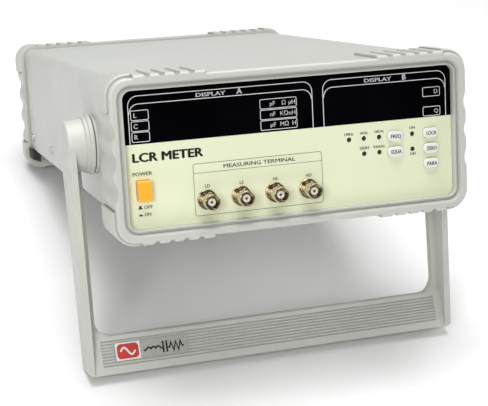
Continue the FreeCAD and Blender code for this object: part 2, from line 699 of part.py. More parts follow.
def crossbar_face_y(z):
    """Front of the crossbar, which slopes forward from the opening down to its chin."""
    low = -HANDLE_REACH - CHIN_DROP
    share = (CROSSBAR_TOP - z) / (CROSSBAR_TOP - low)
    return WEB_FRONT_CROSSBAR + share * (-ARM_HALF_DEPTH_BOTTOM - WEB_FRONT_CROSSBAR)


def build_web():
    """Plate between the two rims, with the hand opening, and the hollow crossbar below it."""
    half_depth = ARM_HALF_DEPTH_BOTTOM
    chin = (-half_depth, -HANDLE_REACH - CHIN_DROP)
    heel = (half_depth, -HANDLE_REACH)
    front = [(WEB_FRONT_TOP, 0), (WEB_FRONT_STEP, WEB_STEP_Z),
             (WEB_FRONT_CROSSBAR, CROSSBAR_TOP), chin]
    shelf_z = CROSSBAR_TOP - CROSSBAR_FLANGE_T
    floor_z = -HANDLE_REACH + CROSSBAR_FLANGE_T
    back = [heel, (half_depth, floor_z),
            (crossbar_face_y(floor_z) + CROSSBAR_SKIN_T, floor_z),
            (crossbar_face_y(shelf_z) + CROSSBAR_SKIN_T, shelf_z),
            (WEB_FRONT_CROSSBAR + WEB_T, shelf_z), (WEB_FRONT_CROSSBAR + WEB_T, CROSSBAR_TOP),
            (WEB_FRONT_STEP + WEB_T, WEB_STEP_Z), (WEB_FRONT_TOP + WEB_T, 0)]
    plate = prism_x(front + back, -HANDLE_HALF_W_TOP, HANDLE_HALF_W_TOP)
    inner = HANDLE_INNER_HALF_W
    opening = box(-inner, inner, -50, 50, CROSSBAR_TOP, 50)
    opening = opening.makeFillet(CROSSBAR_INNER_R, edges_at(
        opening, lambda p: abs(p.z - CROSSBAR_TOP) < 0.01 and abs(p.x) > inner - 1
        and abs(p.y) < 1))
    web = plate.common(handle_outline(0.0, -50, 50)).cut(opening)

    web = web.makeFillet(SILL_EDGE_R, edges_at(
        web, lambda p: abs(p.z - CROSSBAR_TOP) < 0.01 and abs(p.x) < 1 and p.y < 0))
    stiffeners = []
    for index in range(STIFFENER_COUNT):
        x = (index - (STIFFENER_COUNT - 1) / 2) * STIFFENER_PITCH
        stiffeners.append(prism_x(
            [(crossbar_face_y(floor_z) + 1, floor_z - 1), (half_depth - 1, floor_z - 1),
             (WEB_FRONT_CROSSBAR + WEB_T - 1, shelf_z + 1),
             (crossbar_face_y(shelf_z) + 1, shelf_z + 1)],
            x - STIFFENER_T / 2, x + STIFFENER_T / 2))
    return fused([web] + stiffeners)


def build_rims():
    """The two flat rims that run down the outer sides of the arms, deepest at the pivot."""
    low = -HANDLE_REACH - CHIN_DROP
    side_profile = [(-ARM_HALF_DEPTH_TOP, 0), (ARM_HALF_DEPTH_TOP, 0),
                    (ARM_HALF_DEPTH_BOTTOM, -HANDLE_REACH), (-ARM_HALF_DEPTH_BOTTOM, low)]
    slab = prism_x(side_profile, -HANDLE_HALF_W_TOP, HANDLE_HALF_W_TOP)
    outside = handle_outline(0.0, -50, 50)
    inside = handle_outline(ARM_RIM_T, -60, 60)
    return slab.common(outside).cut(inside)


def build_handle():
    """Built upright with its pivot at the origin, arms down along -Z, then leaned forward."""
    body = fused(build_rims().Solids + [build_web()])

    cutters = []
    for index in range(RIB_COUNT):
        z = RIB_FIRST_Z - index * RIB_PITCH
        face_y = crossbar_face_y(z)
        cutters.append(box(-RIB_HALF_LENGTH, RIB_HALF_LENGTH, face_y - 2, face_y + RIB_DEPTH,
                           z - RIB_W / 2, z + RIB_W / 2))
    low_z, high_z = LABEL_Z
    back_y = RIB_DEPTH
    pocket = [(crossbar_face_y(low_z - LABEL_GAP) - 3, low_z - LABEL_GAP),
              (crossbar_face_y(high_z + LABEL_GAP) - 3, high_z + LABEL_GAP),
              (crossbar_face_y(high_z + LABEL_GAP) + back_y, high_z + LABEL_GAP),
              (crossbar_face_y(low_z - LABEL_GAP) + back_y, low_z - LABEL_GAP)]
    cutters.append(prism_x(pocket, LABEL_X[0] - LABEL_GAP, LABEL_X[1] + LABEL_GAP))
    body = cut_all(body, cutters)
    plate_profile = [(crossbar_face_y(low_z) - LABEL_PROUD, low_z),
                     (crossbar_face_y(high_z) - LABEL_PROUD, high_z),
                     (crossbar_face_y(high_z) + back_y, high_z),
                     (crossbar_face_y(low_z) + back_y, low_z)]
    plate = prism_x(plate_profile, *LABEL_X)

    hubs = []
    case_x = CASE_HALF_W + HUB_BASE_T + HUB_GAP
    neck_x = case_x + HUB_STEP_T + HUB_NECK_T
    for side in (-1, 1):
        step = cyl_x(0, 0, HUB_STEP_R, case_x, case_x + HUB_STEP_T)
        step = step.makeFillet(0.8, edges_at(step, lambda p: abs(p.x - case_x) > 1))
        neck = cyl_x(0, 0, HUB_NECK_R, case_x + 1, neck_x)
        neck = neck.makeFillet(0.8, edges_at(neck, lambda p: p.x > neck_x - 0.01))
        barrel = Part.makeCone(BARREL_INNER_R, BARREL_OUTER_R, HANDLE_HALF_W_TOP - case_x - 1,
                               Vector(case_x + 1, 0, 0), X_AXIS)
        barrel = barrel.makeFillet(1.4, edges_at(
            barrel, lambda p: p.x > HANDLE_HALF_W_TOP - 0.01))
        hub = fused([step, neck, barrel])
        if side < 0:
            hub = mirrored_x(hub)
        hubs.append(hub)
    body = fused([body] + hubs)
    bores = []
    for side in (-1, 1):
        x_a, x_b = sorted((side * (case_x - 1), side * (HANDLE_HALF_W_TOP - 3.0)))
        bores.append(cyl_x(0, 0, PIVOT_R + RUNNING_GAP, x_a, x_b))
        pocket_a, pocket_b = sorted((side * (neck_x - 2), side * (HANDLE_HALF_W_TOP - 3.0)))
        bores.append(cyl_x(0, 0, SPRING_POCKET_R, pocket_a, pocket_b))
    body = cut_all(body, bores)

    for name, shape in (("handle", body), ("handle_label_plate", plate)):
        shape.rotate(Vector(0, 0, 0), X_AXIS, -HANDLE_LEAN_DEG)
        shape.translate(Vector(0, PIVOT_Y, PIVOT_Z))
        HANDLE_PARTS[name] = shape


def dished_washer(inner_r, outer_r, flipped):
    """Conical spring washer on the X axis, 1.9 mm high, opening towards +X unless flipped."""
    profile = [(0.0, inner_r), (1.0, inner_r), (1.9, outer_r), (0.9, outer_r)]
    if flipped:
        profile = [(1.9 - x, radius) for x, radius in profile]
    wire = Part.makePolygon([Vector(x, radius, 0) for x, radius in profile + profile[:1]])
    return Part.Face(wire).revolve(Vector(0, 0, 0), X_AXIS, 360)


def build_pivots():
    disc_start = CASE_HALF_W
    disc_end = CASE_HALF_W + HUB_BASE_T
    case_x = disc_end + HUB_GAP
    pocket_x = case_x + HUB_STEP_T + HUB_NECK_T - 2
    bolts = []
    springs = []
    caps = []
    plates = []
    for side in (-1, 1):
        disc = cyl_x(PIVOT_Y, PIVOT_Z, HUB_BASE_R, disc_start, disc_end)
        disc = disc.makeFillet(0.5, edges_at(disc, lambda p: p.x > disc_end - 0.01))
        disc = disc.cut(cyl_x(PIVOT_Y, PIVOT_Z, PIVOT_R, disc_start - 1, disc_end + 1))
        shank = cyl_x(PIVOT_Y, PIVOT_Z, PIVOT_R, CASE_HALF_W - 3.7, pocket_x + 8.0)
        head = cyl_x(PIVOT_Y, PIVOT_Z, 7.5, pocket_x + 8.0, pocket_x + 10.0)
        bolt = fused([shank, head])
        washers = []
        for index in range(SPRING_COUNT):
            washer = dished_washer(PIVOT_R + 0.2, 8.2, flipped=index % 2 == 1)
            washer.translate(Vector(pocket_x + 0.1 + index * 1.95, PIVOT_Y, PIVOT_Z))
            washers.append(washer)
        plate = box(CASE_HALF_W - CASE_T - 2.5, CASE_HALF_W - CASE_T, PIVOT_Y - 26, PIVOT_Y + 26,
                    PIVOT_Z - 14, PIVOT_Z + 14)
        plate = plate.cut(cyl_x(PIVOT_Y, PIVOT_Z, PIVOT_R, CASE_HALF_W - 10, CASE_HALF_W + 1))
        springs.extend(washer if side > 0 else mirrored_x(washer) for washer in washers)
        for shapes, shape in ((plates, plate), (caps, disc), (bolts, bolt)):
            shapes.append(shape if side > 0 else mirrored_x(shape))
    FRAME_PARTS["hub_discs"] = group(caps)
    FRAME_PARTS["pivot_bolts"] = group(bolts)
    FRAME_PARTS["pivot_plates"] = group(plates)
    FRAME_PARTS["pivot_springs"] = group(springs)


# ================================================================ rear
def build_rear():
    plate_y = OVERALL_REAR_Y - FACE_PROUD - BACKPLATE_T
    edge = PANEL_HIDDEN_EDGE
    panel = centred_plate(PANEL_HALF_W + edge, PANEL_HALF_H + edge, PANEL_CORNER_R + edge,
                          plate_y, plate_y + BACKPLATE_T)
    holes = [box(INLET_X - INLET_W / 2, INLET_X + INLET_W / 2, plate_y - 1, plate_y + 5,
                 INLET_Z - INLET_H / 2 - 10, INLET_Z + INLET_H / 2)]
    for index in range(VENT_COUNT):
        x = VENT_FIRST_X + index * VENT_PITCH - VENT_W / 2
        holes.append(box(x, x + VENT_W, plate_y - 1, plate_y + 5, -VENT_H / 2, VENT_H / 2))
    screws = []
    for side in (-1, 1):
        for z in (-34.0, 34.0):
            holes.append(cyl_y(side * 98.0, z, 1.5, plate_y - 1, plate_y + 5))
            screws.append(placed(screw(1.45, 4.2, 3.0, 1.7), Rotation(Z_AXIS, 180),
                                 Vector(side * 98.0, plate_y + BACKPLATE_T, z)))
    FRAME_PARTS["rear_panel"] = cut_all(panel, holes)
    FRAME_PARTS["rear_panel_screws"] = group(screws)

    face_y = plate_y + BACKPLATE_T
    fuse_top = INLET_Z - INLET_H / 2 - 0.5
    inlet_low = fuse_top - FUSE_H - 2.0
    flange = rounded_plate(INLET_X - INLET_FLANGE_W / 2, INLET_X + INLET_FLANGE_W / 2,
                           inlet_low - 3, INLET_Z + INLET_H / 2 + 3, 4.0,
                           face_y, face_y + INLET_FLANGE_T)
    block = box(INLET_X - INLET_W / 2 + 0.1, INLET_X + INLET_W / 2 - 0.1,
                face_y - INLET_DEPTH - 4, face_y + 0.5, inlet_low + 2.6,
                INLET_Z + INLET_H / 2 - 0.1)
    body = fused([flange, block])
    socket = rounded_plate(INLET_X - 12.2, INLET_X + 12.2, INLET_Z - 8.2, INLET_Z + 8.4, 2.0,
                           face_y - INLET_DEPTH + 2, face_y + 5)
    fuse_slot = box(INLET_X - FUSE_W / 2 - 0.08, INLET_X + FUSE_W / 2 + 0.08,
                    face_y - FUSE_LENGTH - 0.2, face_y + 5, fuse_top - FUSE_H - 0.08,
                    fuse_top + 0.08)
    FRAME_PARTS["power_inlet"] = cut_all(body, [socket, fuse_slot])
    pins = []
    for x, z in ((INLET_X - 7, INLET_Z - 2), (INLET_X + 7, INLET_Z - 2), (INLET_X, INLET_Z + 3)):
        pins.append(box(x - 1, x + 1, face_y - INLET_DEPTH + 2, face_y - 6, z - 2, z + 2))
    FRAME_PARTS["inlet_pins"] = group(pins)
    drawer = box(INLET_X - FUSE_W / 2, INLET_X + FUSE_W / 2, face_y - FUSE_LENGTH,
                 face_y + INLET_FLANGE_T + 0.8, fuse_top - FUSE_H, fuse_top)
    grip = box(INLET_X - 4, INLET_X + 4, face_y + INLET_FLANGE_T - 0.4,
               face_y + INLET_FLANGE_T + 1, fuse_top - FUSE_H + 2.2, fuse_top - 2.2)
    fuse_z = fuse_top - FUSE_H + 1.2 + FUSE_R
    fuse_y = face_y - FUSE_LENGTH / 2
    trough = [cyl_x(fuse_y, fuse_z, FUSE_R + 0.05, INLET_X - 10.1, INLET_X + 10.1),
              box(INLET_X - 10.1, INLET_X + 10.1, fuse_y - FUSE_R - 0.05, fuse_y + FUSE_R + 0.05,
                  fuse_z, fuse_top + 1)]
    FRAME_PARTS["fuse_drawer"] = cut_all(drawer, [grip] + trough)
    fuse = cyl_x(fuse_y, fuse_z, FUSE_R, INLET_X - 10, INLET_X + 10)
    FRAME_PARTS["fuse"] = fuse


# ================================================================ inside
def build_inside():
    board_top = MAIN_BOARD_Z + BOARD_T
    board = box(-96, 96, 34, 232, MAIN_BOARD_Z, board_top)
    holes = []
    standoffs = []
    screws = []
    floor = CASE_BOTTOM_Z + CASE_T
    for x, y in standoff_places():
        holes.append(cyl_z(x, y, 1.6, MAIN_BOARD_Z - 1, board_top + 1))
        post = cyl_z(x, y, STANDOFF_R, floor, MAIN_BOARD_Z)
        standoffs.append(post.cut(cyl_z(x, y, 1.5, floor - 1, MAIN_BOARD_Z + 1)))
        down = Rotation(X_AXIS, -90)
        screws.append(placed(screw(1.45, 5.0, 2.8, 1.6), down, Vector(x, y, board_top)))
    FRAME_PARTS["main_board"] = cut_all(board, holes)
    FRAME_PARTS["board_standoffs"] = group(standoffs)
    FRAME_PARTS["board_screws"] = group(screws)

    cans = []
    for x, y, radius, height in ((-60, 190, 9, 26), (-36, 190, 9, 26), (-14, 196, 6, 18),
                                 (4, 196, 6, 18), (60, 70, 5, 12), (74, 70, 5, 12)):
        can = cyl_z(x, y, radius, board_top, board_top + height)
        cans.append(can.makeFillet(0.8, edges_at(can, lambda p: p.z > board_top + 1)))
    FRAME_PARTS["capacitors"] = group(cans)

    chips = []
    for x, y, w, d in ((-50, 100, 16, 36), (-20, 100, 16, 36), (14, 104, 14, 14),
                       (40, 104, 10, 20), (-50, 148, 12, 20), (-20, 148, 12, 20)):
        chips.append(box(x - w / 2, x + w / 2, y - d / 2, y + d / 2, board_top, board_top + 3.6))
    FRAME_PARTS["integrated_circuits"] = group(chips)

    relays = []
    for index in range(4):
        x = BNC_FIRST_X + index * BNC_PITCH
        relays.append(box(x - 5, x + 5, 44, 64, board_top, board_top + 10))
    FRAME_PARTS["range_relays"] = group(relays)

    fins = [box(44, 92, 176, 179, board_top, board_top + 34)]
    for index in range(8):
        x = 45 + index * 6.4
        fins.append(box(x, x + 1.6, 178, 192, board_top, board_top + 34))
    FRAME_PARTS["heatsink"] = fused(fins)
    regulators = []
    for x in (56, 80):
        regulators.append(box(x - 5, x + 5, 171.4, 176, board_top + 4, board_top + 20))
    FRAME_PARTS["voltage_regulators"] = group(regulators)

    coil_y = 286.0
    base_z = CASE_BOTTOM_Z + CASE_T
    core = box(-30, 30, coil_y - 26, coil_y + 26, base_z + 6, base_z + 56)
    windows = [box(-20, -10, coil_y - 30, coil_y + 30, base_z + 16, base_z + 46),
               box(10, 20, coil_y - 30, coil_y + 30, base_z + 16, base_z + 46)]
    FRAME_PARTS["transformer_core"] = cut_all(core, windows)
    coil = box(-19.8, 19.8, coil_y - 36, coil_y + 36, base_z + 16.2, base_z + 45.8)
    coil = coil.makeFillet(3.0, edges_at(coil, lambda p: abs(abs(p.y - coil_y) - 36) < 0.01
                                         and abs(abs(p.x) - 19.8) < 0.01))
    centre_leg = box(-10.05, 10.05, coil_y - 26.05, coil_y + 26.05, base_z + 10, base_z + 50)
    FRAME_PARTS["transformer_coil"] = coil.cut(centre_leg)
    rails = []
    for side in (-1, 1):
        y = coil_y + side * 20
        rails.append(box(-42, 42, y - 5, y + 5, base_z, base_z + 6))
    FRAME_PARTS["transformer_rails"] = group(rails)


# ================================================================ standing up
def ground_tilt():
    """Angle that brings the crossbar's rear foot and the rear bezel's heel to one level."""
    foot_y, foot_z = handle_point(-HANDLE_REACH, ARM_HALF_DEPTH_BOTTOM)
    heel_y = OVERALL_REAR_Y
    heel_z = -(BEZEL_HALF_H + GUARD_RAISE)
    return math.degrees(math.atan2(heel_z - foot_z, heel_y - foot_y))


def stand_up(shapes):
    """Tip everything back about X and drop it so the box of it all stands on Z = 0."""
    tilt = ground_tilt()
    turned = {}
    whole = FreeCAD.BoundBox()
    for name, shape in shapes.items():
        copy = shape.copy()
        copy.rotate(Vector(0, 0, 0), X_AXIS, -tilt)
        copy.tessellate(0.2)
        whole.add(copy.optimalBoundingBox(False, False))
        turned[name] = copy
    shift = Vector(-whole.Center.x, -whole.Center.y, -whole.ZMin)
    for name, shape in turned.items():
        shape.translate(shift)
    return turned, tilt, shift


build_bezels()
build_case()
build_cover_screws()
build_feet()
build_panel()
build_displays()
build_keys()
build_power_switch()
build_terminals()
build_handle()
build_pivots()
build_rear()
build_inside()

PARTS, TILT, SHIFT = stand_up({**FRAME_PARTS, **HANDLE_PARTS})
for node, shape in PARTS.items():
    shape.exportStep("parts/" + node + ".step")
    print(node, len(shape.Solids), shape.isValid())
print("tilt", TILT)
print("shift", SHIFT)
print("pivot", Rotation(X_AXIS, -TILT).multVec(Vector(0, PIVOT_Y, PIVOT_Z)) + SHIFT)
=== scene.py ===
import json
import math

import bmesh
import bpy
from mathutils import Matrix, Vector


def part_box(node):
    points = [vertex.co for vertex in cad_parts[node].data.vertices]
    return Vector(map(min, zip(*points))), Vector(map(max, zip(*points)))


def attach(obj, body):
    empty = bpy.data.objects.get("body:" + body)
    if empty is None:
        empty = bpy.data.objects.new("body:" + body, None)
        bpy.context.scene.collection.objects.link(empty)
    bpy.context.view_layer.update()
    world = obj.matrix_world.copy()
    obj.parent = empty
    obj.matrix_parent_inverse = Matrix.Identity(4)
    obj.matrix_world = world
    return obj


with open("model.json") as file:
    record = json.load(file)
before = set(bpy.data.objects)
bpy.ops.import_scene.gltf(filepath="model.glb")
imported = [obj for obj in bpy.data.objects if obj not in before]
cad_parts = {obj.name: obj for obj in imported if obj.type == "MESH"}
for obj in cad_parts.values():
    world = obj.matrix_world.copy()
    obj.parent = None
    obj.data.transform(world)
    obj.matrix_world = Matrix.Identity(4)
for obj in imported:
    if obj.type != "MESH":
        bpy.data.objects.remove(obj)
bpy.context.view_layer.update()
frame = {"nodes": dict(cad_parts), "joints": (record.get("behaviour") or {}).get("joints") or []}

# ---------------------------------------------------------------- driving values
MM = 0.001
PIVOT_IN_INSTRUMENT = Vector((0.0, 72.0, 2.3))   # handle pivot in the instrument's own axes, mm
HANDLE_LEAN = math.radians(3.7)

CAMERA_PLACE = Vector((-0.2696, -0.8608, 0.5069))
CAMERA_TURN = (62.334, -2.417, -17.703)           # degrees about X, Y, Z
CAMERA_LENS = 96.81
CAMERA_SHIFT_X = 0.008
CAMERA_SENSOR = 36.0

INK_LIFT = 0.004            # printed marks start this far off the surface, mm
INK_T = 0.03

SANS = bpy.data.fonts.load("<builtin>")

EDGE_SAMPLES = 6
NOISE_LOW = 0.3             # most of a noise texture lies between these two
NOISE_HIGH = 0.7
EDGE_RADIUS = 0.0005        # rounding that the shading gives to plastic and enamel edges, metres
METAL_EDGE_RADIUS = 0.0002
EDGE_TINT = 1.1225          # plastic's colour along its edges is multiplied by this
# Painted shade: moulded plastic's colour is darkened this far into grooves and inner corners.
PAINTED_SHADE_REACH = 0.004        # how far grooves and corners darken, metres
SHORTEST_MITRE = 0.35       # limits how far a ribbon's corner may reach out


# ---------------------------------------------------------------- places
def joint(name):
    return next(entry for entry in frame["joints"] if entry["name"] == name)


def instrument_to_row():
    """Matrix from the instrument's own axes in millimetres to the row frame in metres."""
    inward = Vector(joint("power_button_press")["axis"])
    tip = math.atan2(-inward.z, inward.y)
    pivot = Vector(joint("handle_swing")["pos_m"])
    return (Matrix.Translation(pivot) @ Matrix.Rotation(-tip, 4, "X") @ Matrix.Scale(MM, 4)
            @ Matrix.Translation(-PIVOT_IN_INSTRUMENT))


TO_ROW = instrument_to_row()
HANDLE_TO_ROW = (TO_ROW @ Matrix.Translation(PIVOT_IN_INSTRUMENT)
                 @ Matrix.Rotation(-HANDLE_LEAN, 4, "X"))


# ---------------------------------------------------------------- material helper
class Shader:
    """A Principled material with short calls for the procedural nodes that feed it."""

    def __init__(self, name):
        self.material = bpy.data.materials.new(name)
        self.material.use_nodes = True
        self.tree = self.material.node_tree
        self.tree.nodes.clear()
        output = self.tree.nodes.new("ShaderNodeOutputMaterial")
        self.bsdf = self.tree.nodes.new("ShaderNodeBsdfPrincipled")
        self.link(self.bsdf.outputs[0], output.inputs["Surface"])
        self.place = self.tree.nodes.new("ShaderNodeTexCoord").outputs["Object"]

    def link(self, source, target):
        self.tree.links.new(source, target)

    def feed(self, source, target):
        """Puts a socket or a plain value into an input."""
        if isinstance(source, bpy.types.NodeSocket):
            self.link(source, target)
        else:
            target.default_value = source

    def set(self, **values):
        for name, value in values.items():
            self.feed(value, self.bsdf.inputs[name.replace("_", " ")])

    def stretched(self, x, y, z):
        node = self.tree.nodes.new("ShaderNodeMapping")
        self.link(self.place, node.inputs["Vector"])
        node.inputs["Scale"].default_value = (x, y, z)
        return node.outputs[0]

    def noise(self, scale, detail=3.0, roughness=0.5, place=None):
        node = self.tree.nodes.new("ShaderNodeTexNoise")
        self.link(place or self.place, node.inputs["Vector"])
        node.inputs["Scale"].default_value = scale
        node.inputs["Detail"].default_value = detail
        node.inputs["Roughness"].default_value = roughness
        return node.outputs["Fac"]

    def cells(self, scale, feature="F1"):
        node = self.tree.nodes.new("ShaderNodeTexVoronoi")
        node.feature = feature
        self.link(self.place, node.inputs["Vector"])
        node.inputs["Scale"].default_value = scale
        return node.outputs["Distance"]

    def waves(self, scale, direction, distortion):
        node = self.tree.nodes.new("ShaderNodeTexWave")
        node.bands_direction = direction
        self.link(self.place, node.inputs["Vector"])
        node.inputs["Scale"].default_value = scale
        node.inputs["Distortion"].default_value = distortion
        return node.outputs["Fac"]

    def remap(self, value, low, high, to_low, to_high):
        node = self.tree.nodes.new("ShaderNodeMapRange")
        self.feed(value, node.inputs["Value"])
        for name, number in (("From Min", low), ("From Max", high),
                             ("To Min", to_low), ("To Max", to_high)):
            node.inputs[name].default_value = number
        return node.outputs[0]

    def spread(self, noise, to_low, to_high):
        """A noise's middle range, stretched to run from `to_low` to `to_high`."""
        return self.remap(noise, NOISE_LOW, NOISE_HIGH, to_low, to_high)

    def mix(self, share, colour_a, colour_b):
        node = self.tree.nodes.new("ShaderNodeMix")
        node.data_type = "RGBA"
        self.feed(share, node.inputs[0])
        for value, target in ((colour_a, node.inputs[6]), (colour_b, node.inputs[7])):
            self.feed(value if isinstance(value, bpy.types.NodeSocket) else (*value, 1.0), target)
        return node.outputs[2]

    def soft_edges(self, radius):
        node = self.tree.nodes.new("ShaderNodeBevel")
        node.samples = EDGE_SAMPLES
        node.inputs["Radius"].default_value = radius
        return node.outputs[0]

    def edge_share(self, radius):
        """0 on open faces, rising to 1 on the very edges."""
        geometry = self.tree.nodes.new("ShaderNodeNewGeometry")
        dot = self.tree.nodes.new("ShaderNodeVectorMath")
        dot.operation = "DOT_PRODUCT"
        self.link(self.soft_edges(radius), dot.inputs[0])
        self.link(geometry.outputs["Normal"], dot.inputs[1])
        return self.remap(dot.outputs["Value"], 1.0, 0.8, 0.0, 1.0)

    def open_share(self, reach):
        """1 on open faces, falling towards 0 deep in grooves and corners."""
        node = self.tree.nodes.new("ShaderNodeAmbientOcclusion")
        node.samples = EDGE_SAMPLES
        node.inputs["Distance"].default_value = reach
        return self.remap(node.outputs["AO"], 0.45, 0.95, 0.0, 1.0)

    def bump(self, height, strength, distance, normal=None):
        node = self.tree.nodes.new("ShaderNodeBump")
        self.feed(height, node.inputs["Height"])
        node.inputs["Strength"].default_value = strength
        node.inputs["Distance"].default_value = distance
        if normal:
            self.link(normal, node.inputs["Normal"])
        self.link(node.outputs[0], self.bsdf.inputs["Normal"])


def tint(colour, factor):
    return tuple(min(1.0, channel * factor) for channel in colour)


def moulded(name, colour, roughness, grain, grain_scale, mottle, coat=0.0, painted_hollow_shade=1.0):
    """Moulded plastic: faint mottling, a fine spark grain and slightly lighter edges.

    A shade factor below 1 paints shade into grooves and inner corners, darkening their colour.
    """
    shader = Shader(name)
    cloud = shader.noise(14.0, 4.0)
    body = shader.mix(shader.spread(cloud, 0.0, 1.0), tint(colour, 1.0 - mottle),
                      tint(colour, 1.0 + mottle))
    body = shader.mix(shader.edge_share(EDGE_RADIUS), body, tint(colour, EDGE_TINT))
    # Painted shade: the colour is darkened where grooves and inner corners would lie in shadow.
    if painted_hollow_shade < 1.0:
        body = shader.mix(shader.open_share(PAINTED_SHADE_REACH), tint(colour, painted_hollow_shade), body)
    gloss = shader.spread(shader.noise(60.0, 3.0), roughness * 0.88, roughness * 1.12)
    shader.set(Base_Color=body, Roughness=gloss, Coat_Weight=coat, Coat_Roughness=0.15)
    shader.bump(shader.noise(grain_scale, 2.0), grain, 0.00006, shader.soft_edges(EDGE_RADIUS))
    return shader.material


def baked_paint(name, colour, roughness):
    """Baked enamel on sheet steel: orange peel, a few specks, and long soft unevenness."""
    shader = Shader(name)
    cloud = shader.noise(5.0, 3.0)
    body = shader.mix(shader.spread(cloud, 0.0, 1.0), tint(colour, 0.965), tint(colour, 1.03))
    specks = shader.remap(shader.cells(900.0), 0.06, 0.11, 0.5, 0.0)
    body = shader.mix(specks, body, tint(colour, 0.86))
    gloss = shader.spread(shader.noise(22.0, 4.0), roughness * 0.85, roughness * 1.15)
    shader.set(Base_Color=body, Roughness=gloss, Coat_Weight=0.12, Coat_Roughness=0.25)
    shader.bump(shader.noise(620.0, 2.0), 0.22, 0.00012, shader.soft_edges(EDGE_RADIUS))
    return shader.material


def metal(name, colour, roughness, streak=(40.0, 1200.0, 1200.0), streak_depth=0.12):
    """Plated or turned metal with fine streaks and a cloudy sheen."""
    shader = Shader(name)
    streaks = shader.noise(1.0, 3.0, 0.6, shader.stretched(*streak))
    cloud = shader.noise(90.0, 3.0)
    body = shader.mix(shader.spread(cloud, 0.0, 1.0), tint(colour, 0.9), tint(colour, 1.06))
    gloss = shader.spread(streaks, roughness * 0.7, roughness * 1.35)
    shader.set(Base_Color=body, Metallic=1.0, Roughness=gloss)
    shader.bump(streaks, streak_depth, 0.00004, shader.soft_edges(METAL_EDGE_RADIUS))
    return shader.material


def overlay_film(name, colour):
    """Printed polyester overlay: very fine even texture and a satin sheen."""
    shader = Shader(name)
    cloud = shader.noise(9.0, 2.0)
    body = shader.mix(shader.spread(cloud, 0.0, 1.0), tint(colour, 0.975), tint(colour, 1.02))
    gloss = shader.spread(shader.noise(300.0, 2.0), 0.36, 0.46)
    shader.set(Base_Color=body, Roughness=gloss)
    shader.bump(shader.cells(2600.0), 0.12, 0.00003, shader.soft_edges(0.0003))
    return shader.material


def smoked_window(name):
    """Nearly black filter window with a faint haze, so what is behind it doesn't show."""
    shader = Shader(name)
    haze = shader.noise(30.0, 4.0)
    body = shader.mix(shader.remap(haze, 0.35, 0.7, 0.0, 1.0), (0.0009, 0.0009, 0.0014),
                      (0.0018, 0.0018, 0.0032))
    gloss = shader.spread(haze, 0.2, 0.28)
    shader.set(Base_Color=body, Roughness=gloss, Specular_IOR_Level=0.02)
    shader.bump(shader.noise(1500.0, 2.0), 0.04, 0.00002)
    return shader.material


def circuit_board(name):
    """Green solder mask over copper tracks."""
    shader = Shader(name)
    tracks = shader.cells(190.0, feature="DISTANCE_TO_EDGE")
    copper = shader.remap(tracks, 0.05, 0.09, 1.0, 0.0)
    pads = shader.remap(shader.cells(420.0), 0.16, 0.2, 1.0, 0.0)
    body = shader.mix(copper, (0.012, 0.075, 0.03), (0.03, 0.16, 0.05))
    body = shader.mix(pads, body, (0.55, 0.55, 0.5))
    shader.set(Base_Color=body, Roughness=0.3, Coat_Weight=0.4, Coat_Roughness=0.2)
    shader.bump(copper, 0.3, 0.00005, shader.soft_edges(0.0002))
    return shader.material


def rubber(name):
    """Black rubber, a little dusty and finely pitted."""
    shader = Shader(name)
    dust = shader.noise(120.0, 5.0)
    body = shader.mix(shader.remap(dust, 0.4, 0.75, 0.0, 1.0), (0.012, 0.012, 0.012),
                      (0.045, 0.044, 0.042))
    shader.set(Base_Color=body, Roughness=0.78)
    shader.bump(shader.noise(1800.0, 3.0), 0.35, 0.00008, shader.soft_edges(0.0004))
    return shader.material


def banded(name, light, dark, scale, direction, roughness, depth, metallic=0.0):
    """Laminations, windings or tape: even bands across the part, a little uneven in tone."""
    shader = Shader(name)
    bands = shader.waves(scale, direction, 0.4)
    cloud = shader.noise(35.0, 3.0)
    body = shader.mix(bands, dark, light)
    body = shader.mix(shader.spread(cloud, 0.0, 0.35), body, dark)
    shader.set(Base_Color=body, Roughness=roughness, Metallic=metallic)
    shader.bump(bands, depth, 0.0002, shader.soft_edges(0.0003))
    return shader.material


def speckled_foil(name, colour):
    """Satin silver label stock with a salt-and-pepper sparkle."""
    shader = Shader(name)
    sparkle = shader.noise(2400.0, 2.0, 0.7)
    body = shader.mix(shader.remap(sparkle, 0.38, 0.62, 0.0, 1.0), tint(colour, 0.72),
                      tint(colour, 1.18))
    shader.set(Base_Color=body, Roughness=0.42, Metallic=0.25)
    shader.bump(sparkle, 0.2, 0.00003)
    return shader.material


def clear_glass(name):
    """Thin clear glass with a light smear."""
    shader = Shader(name)
    smear = shader.noise(200.0, 3.0)
    shader.set(Base_Color=(0.9, 0.95, 0.93, 1.0), Transmission_Weight=0.9,
               Roughness=shader.spread(smear, 0.02, 0.09), IOR=1.47)
    shader.bump(smear, 0.05, 0.00003)
    return shader.material


def ink(name, colour, roughness):
    """Screen-printed ink: nearly flat colour with slight pinholes and uneven gloss."""
    shader = Shader(name)
    pinholes = shader.remap(shader.noise(5200.0, 2.0), 0.3, 0.6, 0.0, 1.0)
    body = shader.mix(pinholes, tint(colour, 0.9), tint(colour, 1.04))
    gloss = shader.spread(shader.noise(900.0, 2.0), roughness * 0.85, roughness * 1.15)
    shader.set(Base_Color=body, Roughness=gloss)
    return shader.material


# ---------------------------------------------------------------- materials on CAD nodes
BEZEL_GREY = (0.565, 0.575, 0.53)
CASE_GREY = (0.58, 0.59, 0.555)
PANEL_CREAM = (0.80, 0.84, 0.60)

